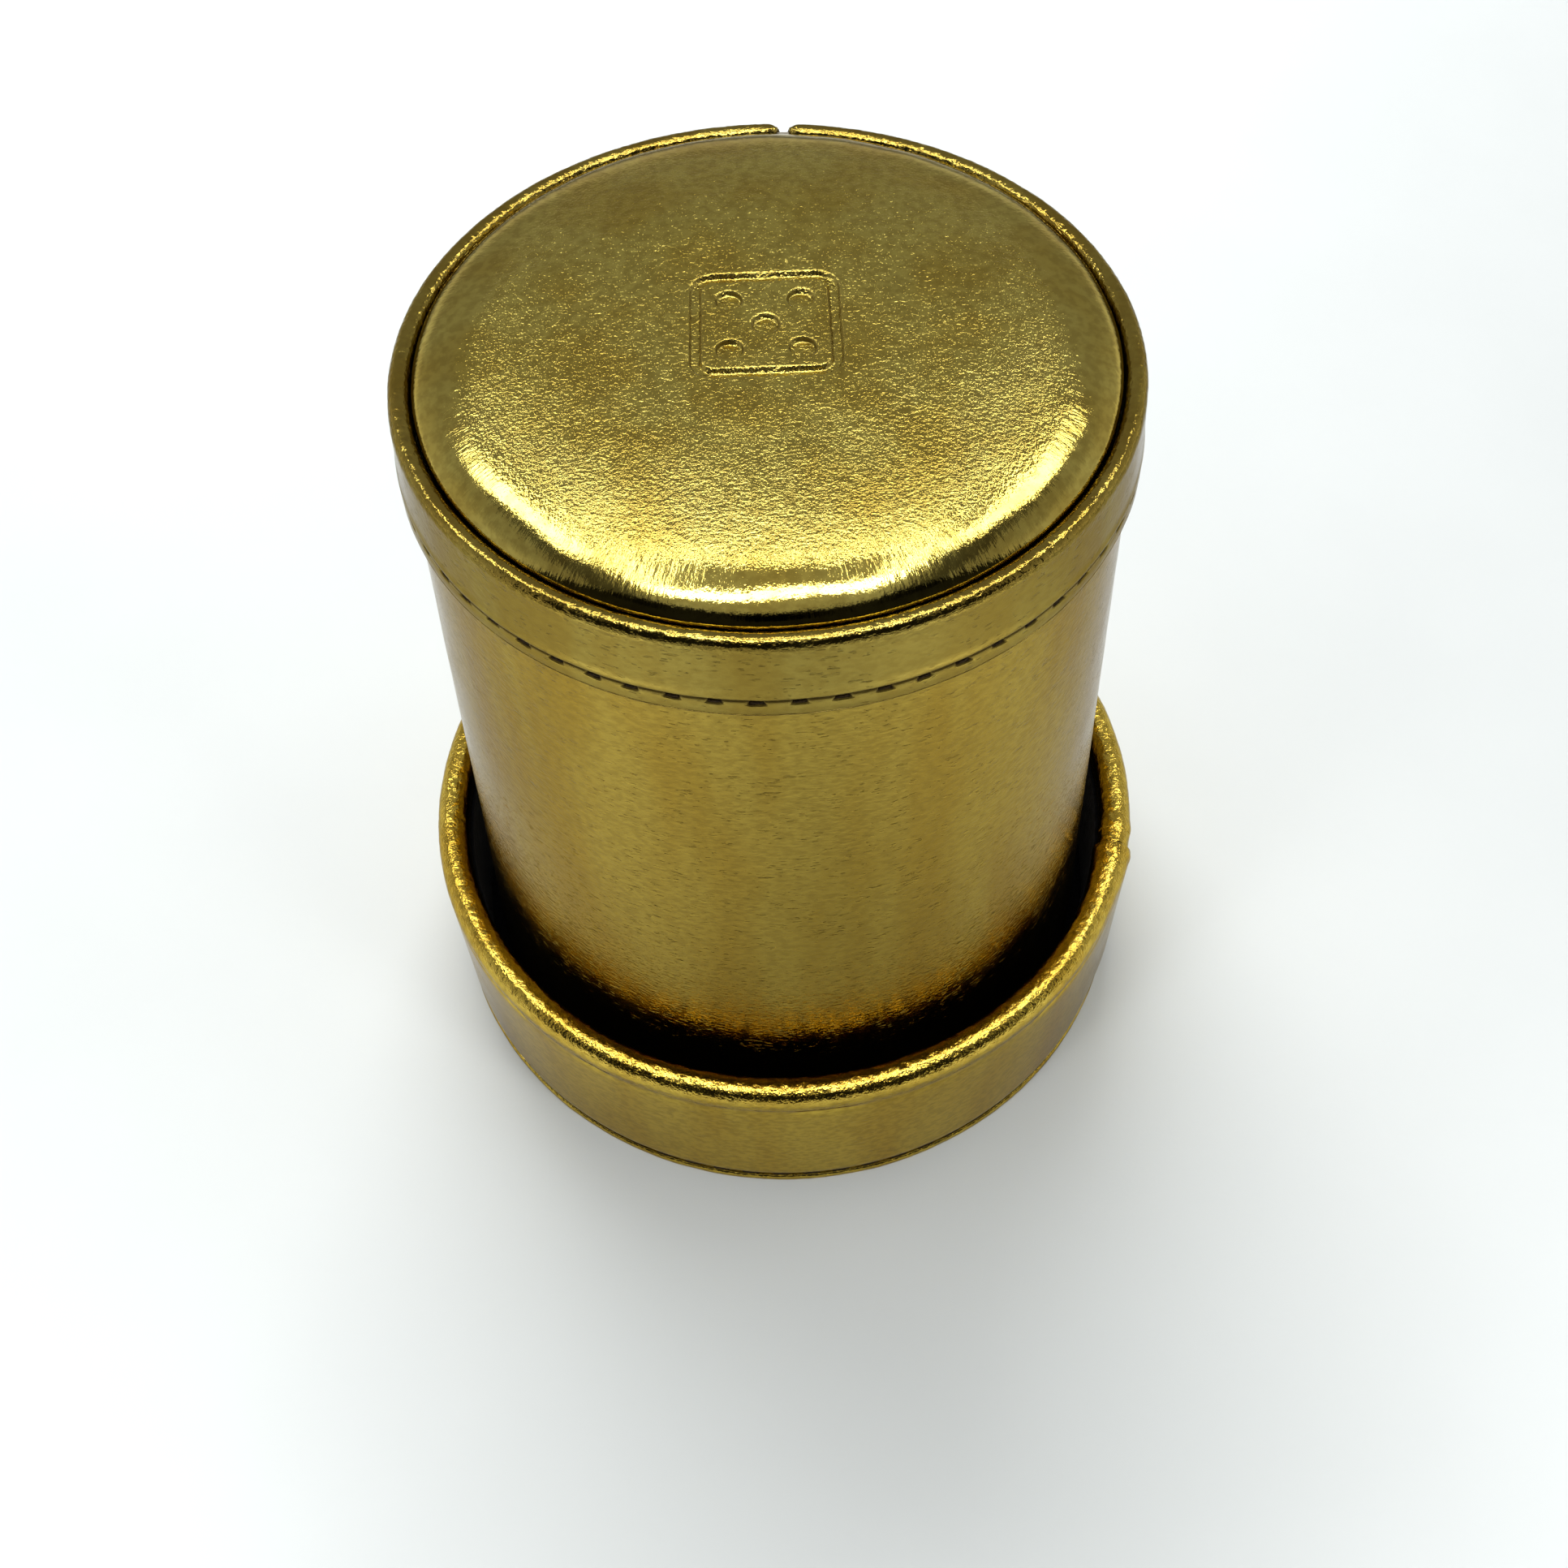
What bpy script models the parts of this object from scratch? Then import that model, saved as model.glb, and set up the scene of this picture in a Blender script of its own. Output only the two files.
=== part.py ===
"""Dice cup in gold metallic leatherette, standing mouth down in its shallow felt-lined tray.

Frame: metres, +Z up, origin at the centre of the tray's underside. All shapes below are turned
about Z and are given in millimetres as (radius, height) points. Two bodies: the tray, which stands
on the table, and the cup, which lifts straight off it.
"""

from math import cos, hypot, pi, radians, sin, sqrt

import bpy

MM = 0.001
SEGMENTS = 48  # sides of every turned piece, all in the same phase so that thin gaps stay open
SHARP_ANGLE = radians(40)

# Driving dimensions, mm
TRAY_RADIUS = 45.0
TRAY_HEIGHT = 24.0
TRAY_ROLL = 1.9  # radius of the padded roll along the tray's rim
MOUTH_HEIGHT = 4.1  # the cup's mouth, just clear of the felt on the tray's floor
MOUTH_RADIUS = 39.44
WALL_TAPER = 0.0443  # radius lost for each mm of height
BAND_BOTTOM = 87.5  # lower edge of the rim band
BAND_BOTTOM_RADIUS = 36.8
RIM_ROLL = 1.075  # radius of the rim band's roll
RIM_ROLL_RADIUS = 35.075  # where the roll's centre lies
RIM_ROLL_HEIGHT = 95.5
PAD_RADIUS = 33.6
PAD_EDGE_HEIGHT = 95.4  # where the pad's side turns into its crown
PAD_CROWN = 4.6  # rise of the crown above that edge

# Sheet and board thicknesses, mm
GAP = 0.3  # air left between pieces that touch or are glued
LEATHER = 0.5
FELT = 0.8
BOARD = 1.8
END_BOARD = 1.5
WALL_BOARD = 1.2
HOOP = 0.55
HEM = 0.75  # the rim band where its edge is folded under
THREAD = 0.2  # radius of the sewing thread of the rim band
TRAY_THREAD = 0.3

# Heights of the layers of the tray's floor, mm
BASE_COVER_TOP = LEATHER + 0.1
BASE_BOARD_BOTTOM = BASE_COVER_TOP + GAP
BASE_BOARD_TOP = BASE_BOARD_BOTTOM + BOARD
FLOOR_FELT_BOTTOM = BASE_BOARD_TOP + GAP
FLOOR_FELT_TOP = FLOOR_FELT_BOTTOM + FELT

# Heights of the layers of the cup's closed end, mm
END_BOARD_BOTTOM = 88.0
END_BOARD_TOP = END_BOARD_BOTTOM + END_BOARD
CUP_FLOOR_FELT_TOP = END_BOARD_BOTTOM - GAP
CUP_FLOOR_FELT_BOTTOM = CUP_FLOOR_FELT_TOP - FELT
PAD_FLAP_BOTTOM = END_BOARD_TOP + GAP
PAD_BOARD_BOTTOM = PAD_FLAP_BOTTOM + LEATHER + GAP
PAD_BOARD_TOP = PAD_BOARD_BOTTOM + END_BOARD
FOAM_BOTTOM = PAD_BOARD_TOP + GAP

# The tray's wall, from outside to inside, mm
TRAY_ROLL_CENTRE = (TRAY_RADIUS - TRAY_ROLL, TRAY_HEIGHT - TRAY_ROLL)
TRAY_CORE_OUTER = TRAY_RADIUS - LEATHER - GAP
TRAY_CORE_INNER = TRAY_RADIUS - 2 * TRAY_ROLL + LEATHER + GAP
TRAY_CORE_TOP = 20.7
TRAY_FLAP_BOTTOM = 20.0
TRAY_WALL_BOTTOM = 2.3  # the wall cover stops here, above the sewn joint
BASE_HEM_TOP = 1.1  # the base cover's turned-up edge stops here, below it

WALL_TOP = 91.0  # the cup's wall ends here, hidden under the rim band
LINING_FLAP_TOP = 13.0  # how far the wall cover is turned up inside the mouth
BAND_FLAP_BOTTOM = 92.2
BAND_SEAM = BAND_BOTTOM + 2.1
SEAM_GROOVE = 0.4  # radius of the groove that the rim band's thread lies in

COLOURS = {  # base colour, roughness, metallic
    "gold_leatherette": ((0.62, 0.44, 0.13, 1.0), 0.28, 0.9),
    "black_felt": ((0.010, 0.010, 0.013, 1.0), 0.95, 0.0),
    "grey_board": ((0.42, 0.38, 0.31, 1.0), 0.85, 0.0),
    "white_foam": ((0.80, 0.79, 0.74, 1.0), 0.90, 0.0),
    "dark_thread": ((0.055, 0.040, 0.016, 1.0), 0.70, 0.0),
}


def clear_scene():
    for thing in list(bpy.data.objects):
        bpy.data.objects.remove(thing, do_unlink=True)


def make_collection(name):
    collection = bpy.data.collections.new(name)
    bpy.context.scene.collection.children.link(collection)
    return collection


def make_material(name):
    colour, roughness, metallic = COLOURS[name]
    material = bpy.data.materials.new(name)
    material.use_nodes = True
    material.diffuse_color = colour
    shader = material.node_tree.nodes["Principled BSDF"]
    shader.inputs["Base Color"].default_value = colour
    shader.inputs["Roughness"].default_value = roughness
    shader.inputs["Metallic"].default_value = metallic
    return material


def make_empty(name, height, collection):
    """An empty on the Z axis, which is the joint's axis."""
    empty = bpy.data.objects.new(name, None)
    empty.location = (0.0, 0.0, height * MM)
    empty.empty_display_size = 20 * MM
    collection.objects.link(empty)
    return empty


def arc(centre, radius, start, end, steps):
    """Points along an arc, with angles in degrees measured from +radius towards +Z."""
    angles = [radians(start + (end - start) * i / steps) for i in range(steps + 1)]
    return [(centre[0] + radius * cos(a), centre[1] + radius * sin(a)) for a in angles]


def right_hand_normal(start, end):
    along, up = end[0] - start[0], end[1] - start[1]
    length = hypot(along, up)
    return up / length, -along / length


def offset_point(before, point, after, thickness):
    """The point moved to its right by a thickness, mitred between the two edges that meet there."""
    if point[0] == 0.0:
        return 0.0, point[1] - thickness
    normals = []
    if before:
        normals.append(right_hand_normal(before, point))
    if after:
        normals.append(right_hand_normal(point, after))
    across = (sum(n[0] for n in normals), sum(n[1] for n in normals))
    size = hypot(*across)
    unit = (across[0] / size, across[1] / size)
    stretch = thickness / (unit[0] * normals[0][0] + unit[1] * normals[0][1])
    return point[0] + unit[0] * stretch, point[1] + unit[1] * stretch


def folded_sheet(path, thickness):
    """Outline of a sheet whose outer face follows the path, with its thickness to the right of it."""
    before = [None] + path[:-1]
    after = path[1:] + [None]
    inner = [offset_point(b, p, a, thickness) for b, p, a in zip(before, path, after)]
    return path + inner[::-1]


def disc(radius, bottom, top):
    """Outline of a flat disc, from the axis out, down the edge and back to the axis."""
    return [(0.0, top), (radius, top), (radius, bottom), (0.0, bottom)]


def tube(outer_top, outer_bottom, inner_bottom, inner_top, bottom, top):
    """Outline of a straight or tapered tube, from the outer top corner down and round."""
    return [(outer_top, top), (outer_bottom, bottom), (inner_bottom, bottom), (inner_top, top)]


def turned(name, outline, material, parent, collection):
    """One closed solid: the outline, in mm, turned a full circle about Z under its parent empty.

    An outline that starts on the axis also ends on it, and any other is closed into a ring.
    """
    drop = parent.location.z
    profile = bpy.data.meshes.new(name + "_profile")
    vertices = [(radius * MM, 0.0, height * MM - drop) for radius, height in outline]
    edges = [(i, i + 1) for i in range(len(outline) - 1)]
    if outline[0][0] > 0.0:
        edges.append((len(outline) - 1, 0))
    profile.from_pydata(vertices, edges, [])
    piece = bpy.data.objects.new(name, profile)
    collection.objects.link(piece)
    piece.parent = parent

    screw = piece.modifiers.new("Turn", "SCREW")
    screw.axis = "Z"
    screw.angle = 2 * pi
    screw.steps = SEGMENTS
    screw.render_steps = SEGMENTS
    screw.use_merge_vertices = True
    screw.merge_threshold = 0.00001

    bpy.context.view_layer.update()
    graph = bpy.context.evaluated_depsgraph_get()
    solid = bpy.data.meshes.new_from_object(piece.evaluated_get(graph))
    solid.name = name
    solid.shade_smooth()
    solid.set_sharp_from_angle(angle=SHARP_ANGLE)
    solid.materials.clear()
    solid.materials.append(material)
    piece.modifiers.clear()
    piece.data = solid
    bpy.data.meshes.remove(profile)
    return piece


def wall_radius(height, depth=0.0):
    """Radius of the cup's tapered wall at a height, at a depth below its outer face."""
    return MOUTH_RADIUS - WALL_TAPER * (height - MOUTH_HEIGHT) - depth


def wall_layer(depth, thickness, bottom, top):
    """Outline of one layer of the cup's wall, which starts at a depth below its outer face."""
    inner = depth + thickness
    return tube(
        wall_radius(top, depth),
        wall_radius(bottom, depth),
        wall_radius(bottom, inner),
        wall_radius(top, inner),
        bottom,
        top,
    )


def crown(inset, steps):
    """The pad's crown from its centre out to its vertical side, moved inwards by an inset."""
    radius, rise = PAD_RADIUS - inset, PAD_CROWN - inset
    turns = [radians(90 * i / steps) for i in range(steps + 1)]
    return [(radius * sqrt(sin(t)), PAD_EDGE_HEIGHT + rise * cos(t)) for t in turns]


# The tray, from the table up


def tray_base_cover():
    """Leatherette disc under the tray, with its edge turned up into a low hem."""
    edge = TRAY_RADIUS
    inside = edge - LEATHER - 0.2
    return [
        (0.0, BASE_COVER_TOP),
        (inside - 0.2, BASE_COVER_TOP),
        (inside, BASE_COVER_TOP + 0.2),
        (inside, BASE_HEM_TOP),
        (edge - 0.15, BASE_HEM_TOP),
        (edge, BASE_HEM_TOP - 0.2),
        (edge, 0.35),
        (edge - 0.35, 0.0),
        (0.0, 0.0),
    ]


def tray_base_board():
    return disc(TRAY_CORE_OUTER - GAP, BASE_BOARD_BOTTOM, BASE_BOARD_TOP)


def tray_wall_core():
    """Board ring that stands on the base board and carries the rim's padding."""
    outer, inner = TRAY_CORE_OUTER, TRAY_CORE_INNER
    return tube(outer, outer, inner, inner, FLOOR_FELT_BOTTOM, TRAY_CORE_TOP)


def tray_rim_padding():
    """Half-round strip of foam on top of the wall core."""
    flat = TRAY_CORE_TOP + GAP
    top = arc(TRAY_ROLL_CENTRE, TRAY_ROLL - LEATHER - GAP, 180, 0, 5)
    return top + [(top[-1][0], flat), (top[0][0], flat)]


def tray_wall_cover():
    """Leatherette from the flap inside the rim, over the padded roll and down the outer wall."""
    inner = TRAY_RADIUS - 2 * TRAY_ROLL
    path = [(inner, TRAY_FLAP_BOTTOM)]
    path += arc(TRAY_ROLL_CENTRE, TRAY_ROLL, 180, 0, 8)
    path += [(TRAY_RADIUS, TRAY_WALL_BOTTOM + 0.3)]
    path += [(TRAY_RADIUS - 0.2, TRAY_WALL_BOTTOM)]
    return folded_sheet(path, LEATHER)


def tray_wall_lining():
    outer = TRAY_CORE_INNER - GAP
    inner = outer - FELT
    return tube(outer, outer, inner, inner, FLOOR_FELT_TOP + GAP, TRAY_FLAP_BOTTOM - GAP)


def tray_floor_lining():
    return disc(TRAY_CORE_INNER - GAP, FLOOR_FELT_BOTTOM, FLOOR_FELT_TOP)


def tray_thread():
    """Sewing thread round the joint between the base cover's hem and the wall cover."""
    middle = (BASE_HEM_TOP + TRAY_WALL_BOTTOM) / 2
    return arc((TRAY_RADIUS - 0.4, middle), TRAY_THREAD, 0, -288, 4)


# The cup, from the mouth up to the pad


def cup_wall_core():
    """Tapered board tube."""
    return wall_layer(LEATHER + GAP, WALL_BOARD, MOUTH_HEIGHT + 1.1, WALL_TOP)


def cup_wall_cover():
    """Leatherette sleeve, turned in round the mouth and up inside it."""
    fold = LEATHER + GAP + WALL_BOARD / 2
    turn_height = MOUTH_HEIGHT + fold
    turn = (wall_radius(turn_height, fold), turn_height)
    path = [(wall_radius(WALL_TOP), WALL_TOP)]
    path += arc(turn, fold, 0, -180, 6)
    path += [(wall_radius(LINING_FLAP_TOP, 2 * fold), LINING_FLAP_TOP)]
    return folded_sheet(path, LEATHER)


def cup_wall_lining():
    depth = LEATHER + WALL_BOARD + 2 * GAP
    return wall_layer(depth, FELT, LINING_FLAP_TOP + GAP, CUP_FLOOR_FELT_BOTTOM - GAP)


def cup_floor_lining():
    radius = wall_radius(CUP_FLOOR_FELT_TOP, LEATHER + WALL_BOARD + 2 * GAP)
    return disc(radius, CUP_FLOOR_FELT_BOTTOM, CUP_FLOOR_FELT_TOP)


def cup_end_board():
    radius = wall_radius(END_BOARD_TOP, LEATHER + WALL_BOARD + 2 * GAP)
    return disc(radius, END_BOARD_BOTTOM, END_BOARD_TOP)


def band_radius(height):
    """Radius of the rim band's outer face, which leans in from its lower edge to its roll."""
    top = RIM_ROLL_RADIUS + RIM_ROLL
    along = (height - BAND_BOTTOM) / (RIM_ROLL_HEIGHT - BAND_BOTTOM)
    return BAND_BOTTOM_RADIUS + (top - BAND_BOTTOM_RADIUS) * along


def rim_band():
    """Leatherette strip rolled over the hoop, thicker where its lower edge is folded under."""
    centre = (RIM_ROLL_RADIUS, RIM_ROLL_HEIGHT)
    inner = RIM_ROLL_RADIUS - RIM_ROLL
    hem_top = BAND_SEAM + 1.0
    outside = [(inner, BAND_FLAP_BOTTOM)]
    outside += arc(centre, RIM_ROLL, 180, 0, 7)
    outside += arc((band_radius(BAND_SEAM), BAND_SEAM), SEAM_GROOVE, 90, 270, 4)
    outside += [
        (band_radius(BAND_BOTTOM + 0.4), BAND_BOTTOM + 0.4),
        (band_radius(BAND_BOTTOM) - 0.2, BAND_BOTTOM),
    ]
    inside = [
        (band_radius(BAND_BOTTOM) - HEM, BAND_BOTTOM),
        (band_radius(hem_top) - HEM, hem_top),
        (band_radius(hem_top + 0.4) - LEATHER, hem_top + 0.4),
    ]
    inside += arc(centre, RIM_ROLL - LEATHER, 0, 180, 5)
    inside += [(inner + LEATHER, BAND_FLAP_BOTTOM)]
    return outside + inside


def rim_band_thread():
    """Sewing thread in the groove near the rim band's lower edge."""
    return arc((band_radius(BAND_SEAM), BAND_SEAM), THREAD, 0, -288, 4)


def rim_hoop():
    """Thin stiff hoop that the rim band is rolled over."""
    inner = RIM_ROLL_RADIUS - HOOP / 2
    outer = RIM_ROLL_RADIUS + HOOP / 2
    top = RIM_ROLL_HEIGHT + GAP / 2
    return tube(outer, outer, inner, inner, WALL_TOP + GAP, top)


def pad_board():
    return disc(PAD_RADIUS - 1.2, PAD_BOARD_BOTTOM, PAD_BOARD_TOP)


def pad_foam():
    """Foam between the pad's board and its cover, cut to the cover's crown."""
    inset = LEATHER + GAP
    bottom = [(PAD_RADIUS - inset - 0.4, FOAM_BOTTOM), (0.0, FOAM_BOTTOM)]
    return crown(inset, 6) + bottom


def pad_cover():
    """Leatherette over the crown and side of the pad, turned in under its board."""
    waist = PAD_RADIUS - 0.35  # the side draws in here, below the rim band's inner flap
    turn = 0.7
    flap_edge = 26.0
    path = crown(0.0, 9)
    path += [(PAD_RADIUS, 93.4), (waist, 91.4)]
    path += arc((waist - turn, PAD_FLAP_BOTTOM + turn), turn, 0, -90, 3)
    path += [(flap_edge, PAD_FLAP_BOTTOM)]
    return folded_sheet(path, LEATHER)


def build():
    clear_scene()
    collection = make_collection("dice_cup")
    materials = {name: make_material(name) for name in COLOURS}
    tray = make_empty("tray", 0.0, collection)
    cup = make_empty("cup", MOUTH_HEIGHT, collection)

    pieces = [
        (tray_base_cover, "gold_leatherette", tray),
        (tray_base_board, "grey_board", tray),
        (tray_wall_core, "grey_board", tray),
        (tray_rim_padding, "white_foam", tray),
        (tray_wall_cover, "gold_leatherette", tray),
        (tray_wall_lining, "black_felt", tray),
        (tray_floor_lining, "black_felt", tray),
        (tray_thread, "dark_thread", tray),
        (cup_wall_core, "grey_board", cup),
        (cup_wall_cover, "gold_leatherette", cup),
        (cup_wall_lining, "black_felt", cup),
        (cup_floor_lining, "black_felt", cup),
        (cup_end_board, "grey_board", cup),
        (rim_hoop, "grey_board", cup),
        (rim_band, "gold_leatherette", cup),
        (rim_band_thread, "dark_thread", cup),
        (pad_board, "grey_board", cup),
        (pad_foam, "white_foam", cup),
        (pad_cover, "gold_leatherette", cup),
    ]
    for outline, material, parent in pieces:
        turned(outline.__name__, outline(), materials[material], parent, collection)


build()
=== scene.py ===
"""Looks of the gold leatherette dice cup and its felt-lined tray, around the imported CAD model.

The covers, the felt and the foam are turned about Z from a path of (radius, height) points, with far
more rows and columns than the CAD solids have. They are then pushed in and out along their surface,
which gives the seams, pits, folds, crinkles and fuzz. The stitches are short lengths of thread.
Materials are procedural. Lengths are in millimetres until a mesh is made. They are in metres after
that, in the materials and for the lights.
"""

from math import cos, pi, radians, sin

import bpy
import numpy as np
from mathutils import Matrix, Vector, noise

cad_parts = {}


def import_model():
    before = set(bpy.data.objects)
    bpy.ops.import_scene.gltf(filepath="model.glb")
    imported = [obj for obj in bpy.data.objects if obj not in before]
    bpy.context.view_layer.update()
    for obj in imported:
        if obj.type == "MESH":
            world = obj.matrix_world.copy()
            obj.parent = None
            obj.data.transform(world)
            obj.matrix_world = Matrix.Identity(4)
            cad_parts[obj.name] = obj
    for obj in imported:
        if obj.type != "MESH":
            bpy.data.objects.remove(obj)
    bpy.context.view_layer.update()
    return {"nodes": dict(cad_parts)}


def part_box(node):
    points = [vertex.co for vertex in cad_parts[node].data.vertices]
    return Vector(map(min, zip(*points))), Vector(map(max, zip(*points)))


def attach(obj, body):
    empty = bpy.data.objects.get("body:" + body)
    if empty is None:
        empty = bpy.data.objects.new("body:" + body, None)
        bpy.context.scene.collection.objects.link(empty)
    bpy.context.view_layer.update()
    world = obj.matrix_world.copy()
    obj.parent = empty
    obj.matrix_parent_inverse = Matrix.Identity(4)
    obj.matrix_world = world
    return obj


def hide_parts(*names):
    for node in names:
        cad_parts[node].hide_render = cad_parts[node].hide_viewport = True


MM = 0.001

# Camera: its place in mm, the directions of its axes, its focal length and its sensor in mm
CAMERA_PLACE = (0.17, -126.1, 207.9)
CAMERA_RIGHT = (0.99933628, -0.03008068, -0.02054635)
CAMERA_UP = (0.03642801, 0.82520894, 0.56365167)
CAMERA_BACK = (0.0, -0.56402603, 0.82575701)
CAMERA_LENS = 39.32
SENSOR_WIDTH = 36.0

# Sizes shared with part.py, mm
TRAY_RADIUS = 45.0
TRAY_TOP = 24.0
TRAY_ROLL = 1.9
LEATHER = 0.5
FELT = 0.8
CUP_TAPER = 0.0443  # radius lost for each mm of height
BAND_BOTTOM = 87.5
BAND_BOTTOM_RADIUS = 36.8
BAND_SEAM = 89.6
RIM_ROLL = 1.075
RIM_ROLL_RADIUS = 35.075
RIM_ROLL_HEIGHT = 95.5
PAD_EDGE_HEIGHT = 95.4
LINING_FOOT = 13.3
LINING_TOP = 86.6

# How far the pad stands out past the CAD pad's edge, and how deep its emblem is pressed, mm
PAD_STANDS_OUT = 0.25
EMBLEM_DEPTH = 0.5

# Places of single features: azimuths in degrees, counted from +X towards +Y
BAND_GAP_AZIMUTH = 85.7
TRAY_OVERLAP_AZIMUTH = -15.0
TRAY_LUMP_AZIMUTHS = (-10.8, -16.2)
SLEEVE_OVERLAP_AZIMUTH = 92.0
STITCH_COUNT = 61
STITCH_PHASE = -87.1  # azimuth of one stitch of the rim band
TRAY_STITCH_COUNT = 74

# Colours
GOLD = (0.45, 0.343, 0.074)
GOLD_SHADE = (0.39, 0.272, 0.048)
MOTTLE = (0.20, 0.13, 0.022, 1.0)
# painted shade for the hairline creases
CREASE_SHADE = (0.07, 0.05, 0.012, 1.0)
SPECK = (0.02, 0.016, 0.01, 1.0)
RUBBED = (0.20, 0.12, 0.035, 1.0)
# painted shade for pits, seams, joints and emblem edges, with some grime
SHADE_AND_GRIME_COLOUR = (0.018, 0.011, 0.005, 1.0)
EDGE_ON_TINT = (0.64, 0.61, 0.58, 1.0)  # share of the reflection kept where the gold is seen edge-on

# The four leatherettes. leatherette() says what each value is.
GOLDS = {
    "gold_pad": {
        "grain": 0.000115,
        "stretch": (1.0, 1.1, 1.0),
        "roughness": 0.140,
        "creases": 0.0,
        "tone": (1.02, 1.09, 1.20),
        "puckers": 0.00003,
    },
    "gold_wall": {
        "grain": 0.000055,
        "stretch": (0.5, 0.5, 1.0),
        "roughness": 0.13,
        "creases": 0.00003,
        "tone": (0.88, 0.82, 0.66),
    },
    "gold_band": {
        "grain": 0.000085,
        "stretch": (0.6, 0.6, 1.0),
        "roughness": 0.15,
        "creases": 0.00003,
        "tone": (0.66, 0.65, 0.62),
    },
    "gold_tray": {
        "grain": 0.000110,
        "stretch": (0.8, 0.8, 1.0),
        "roughness": 0.15,
        "creases": 0.00001,
        "tone": (1.35, 1.26, 0.95),
    },
}

# Distances from the axis where the pad's puckers begin and where they are full, m
PUCKERS = (0.026, 0.0295)

# What the lights face unless they are told otherwise, m
PAD_PLACE = (0.0, 0.0, 0.09)

# CAD nodes that stay as they are and get a board material
BOARDS = [
    "tray_base_board",
    "tray_wall_core",
    "cup_wall_core",
    "cup_end_board",
    "rim_hoop",
    "pad_board",
]


# Numbers and noise


def smooth(low, high, value):
    """0 below low, 1 above high and an S curve between them."""
    share = np.clip((value - low) / (high - low), 0.0, 1.0)
    return share * share * (3.0 - 2.0 * share)


def bump_at(value, centre, width):
    """A bell of height 1 at the centre that has nearly gone at one width from it."""
    return np.exp(-(((value - centre) / (0.5 * width)) ** 2))


def noise_field(points, size, seed, stretch=(1.0, 1.0, 1.0)):
    """Smooth noise between about -1 and 1, with lumps of about the given size in mm."""
    scaled = points.reshape(-1, 3) * np.array(stretch) / size + 13.7 * seed
    values = [noise.noise(place) for place in scaled.tolist()]
    return np.array(values).reshape(points.shape[:-1])


def ridges(points, size, seed, stretch=(1.0, 1.0, 1.0)):
    """Noise with sharp crests, from 0 in the valleys to 1 on the crests."""
    return 1.0 - np.clip(2.2 * np.abs(noise_field(points, size, seed, stretch)), 0.0, 1.0)


# Paths of (radius, height) points


def arc(centre, radius, start, end, steps):
    """Points along an arc, with angles in degrees measured from +radius towards +Z."""
    turns = np.radians(np.linspace(start, end, steps + 1))
    return np.stack([centre[0] + radius * np.cos(turns), centre[1] + radius * np.sin(turns)], 1)


def line(start, end, steps):
    """Evenly spaced points from start to end."""
    return np.linspace(start, end, steps + 1)


def chain(*parts):
    """Joins parts of a path and drops points that repeat."""
    joined = np.concatenate([np.asarray(part, float) for part in parts])
    step = np.linalg.norm(np.diff(joined, axis=0), axis=1)
    return joined[np.concatenate([[True], step > 1e-6])]


def even_angles(columns):
    """Angles all round, evenly spaced."""
    return np.linspace(0.0, 2 * pi, columns, endpoint=False)


def angles_with_detail(columns, azimuth, half_width, step):
    """Angles all round, closer together within half_width degrees of an azimuth."""
    centre = radians(azimuth)
    reach = radians(half_width)
    fine = centre + np.arange(-reach, reach, radians(step))
    spread = centre + np.linspace(reach, 2 * pi - reach, columns, endpoint=False)
    return np.concatenate([fine, spread])


# Turned surfaces


class Turned:
    """A grid of points turned about Z. Rows follow the path, columns the angles.

    The path keeps the outside of the piece on its left. hidden is the rest of the outline, which
    closes it and is never pushed. The wear share, the share of painted shade with some grime, and
    the grain share go from 0 to 1 for the materials.
    """

    def __init__(self, path, angles, hidden=()):
        self.shown = len(path)
        outline = chain(path, hidden) if len(hidden) else np.asarray(path, float)
        self.poles = outline[0][0] == 0.0
        tangent = np.gradient(outline, axis=0)
        normal = np.stack([-tangent[:, 1], tangent[:, 0]], 1)
        normal /= np.linalg.norm(normal, axis=1)[:, None]
        self.radius = np.repeat(outline[:, :1], len(angles), 1)
        self.height = np.repeat(outline[:, 1:], len(angles), 1)
        self.angle = np.repeat(np.asarray(angles)[None, :], len(outline), 0)
        self.normal = normal
        self.wear = np.zeros_like(self.radius)
        self.shade_and_grime = np.zeros_like(self.radius)
        self.grain = np.ones_like(self.radius)
        self.open = False

    def points(self):
        x = self.radius * np.cos(self.angle)
        y = self.radius * np.sin(self.angle)
        return np.stack([x, y, self.height], 2)

    def push(self, amount):
        """Moves the shown rows outwards by an amount for each point, in mm."""
        rows = slice(0, self.shown)
        self.radius[rows] += self.normal[rows, :1] * amount[rows]
        self.height[rows] += self.normal[rows, 1:] * amount[rows]

    def across(self, azimuth):
        """How far each point lies round from an azimuth, in mm along the surface."""
        turn = (self.angle - radians(azimuth) + pi) % (2 * pi) - pi
        return turn * self.radius


def grid_faces(rows, columns, wrap_rows, wrap_columns):
    """Four-sided faces between the points of a grid."""
    row = np.arange(rows if wrap_rows else rows - 1)
    column = np.arange(columns if wrap_columns else columns - 1)
    row, column = np.meshgrid(row, column, indexing="ij")
    below = (row + 1) % rows
    beside = (column + 1) % columns
    corners = [
        row * columns + column,
        below * columns + column,
        below * columns + beside,
        row * columns + beside,
    ]
    return np.stack([corner.ravel() for corner in corners], 1)


def capped_faces(rows, columns, count):
    """Faces of a grid whose first and last rows are single points, out of count points."""
    ring = np.arange(columns)
    beside = (ring + 1) % columns
    first = 1
    last = count - 1 - columns
    pole = np.full(columns, 0)
    end = np.full(columns, count - 1)
    start_cap = np.stack([pole, first + ring, first + beside], 1)
    end_cap = np.stack([last + beside, last + ring, end], 1)
    quads = 1 + grid_faces(rows - 2, columns, False, True)
    return quads.tolist() + start_cap.tolist() + end_cap.tolist()


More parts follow.
